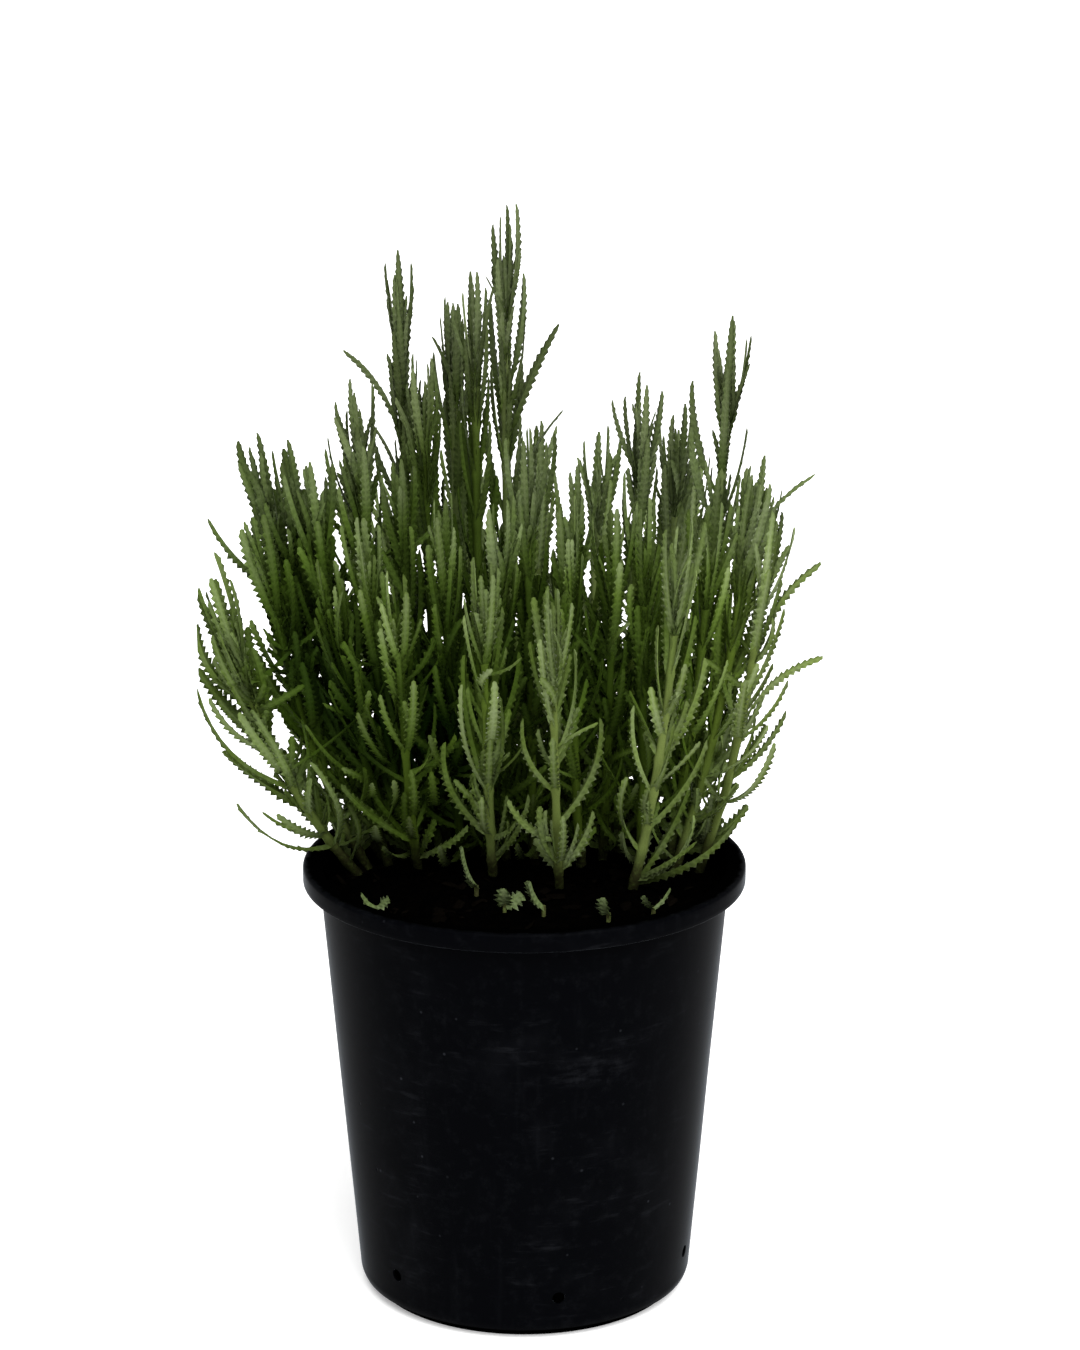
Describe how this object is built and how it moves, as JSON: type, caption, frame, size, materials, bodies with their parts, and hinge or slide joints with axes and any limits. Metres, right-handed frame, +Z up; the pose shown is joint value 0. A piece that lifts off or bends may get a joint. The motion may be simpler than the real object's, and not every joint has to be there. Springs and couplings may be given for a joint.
{
  "type": "potted lavender plant",
  "caption": "Toothed-leaf lavender grown as upright leafy shoots in potting mix, in a round plastic nursery pot that stands on its flat base.",
  "frame": {"origin": "centre of the pot's flat base, on the surface that it stands on", "axes": "+Z up along the pot's axis; the side where the stems leave the most bare mix faces -Y, and +X is to the right seen from there"},
  "size_m": [0.1933, 0.1582, 0.347],
  "materials": {
    "pot_plastic": "satin",
    "potting_mix": "matte",
    "foliage": "matte"
  },
  "bodies": {
    "root": {"pot": "pot_plastic", "potting_mix": "potting_mix", "shoot_01": "foliage", "shoot_02": "foliage", "shoot_03": "foliage", "shoot_04": "foliage", "shoot_05": "foliage", "shoot_06": "foliage", "shoot_07": "foliage", "shoot_08": "foliage", "shoot_09": "foliage", "shoot_10": "foliage", "shoot_11": "foliage", "shoot_12": "foliage", "shoot_13": "foliage", "shoot_14": "foliage", "shoot_15": "foliage", "shoot_16": "foliage", "shoot_17": "foliage", "shoot_18": "foliage", "shoot_19": "foliage", "shoot_20": "foliage", "shoot_21": "foliage", "shoot_22": "foliage", "shoot_23": "foliage", "shoot_24": "foliage", "shoot_25": "foliage", "shoot_26": "foliage", "shoot_27": "foliage", "shoot_28": "foliage", "shoot_29": "foliage", "shoot_30": "foliage", "shoot_31": "foliage", "shoot_32": "foliage", "shoot_33": "foliage", "shoot_34": "foliage", "shoot_35": "foliage", "shoot_36": "foliage", "shoot_37": "foliage", "shoot_38": "foliage", "shoot_39": "foliage", "shoot_40": "foliage", "shoot_41": "foliage", "shoot_42": "foliage", "sprout_01": "foliage", "sprout_02": "foliage", "sprout_03": "foliage", "sprout_04": "foliage", "sprout_05": "foliage", "sprout_06": "foliage"}
  },
  "joints": []
}
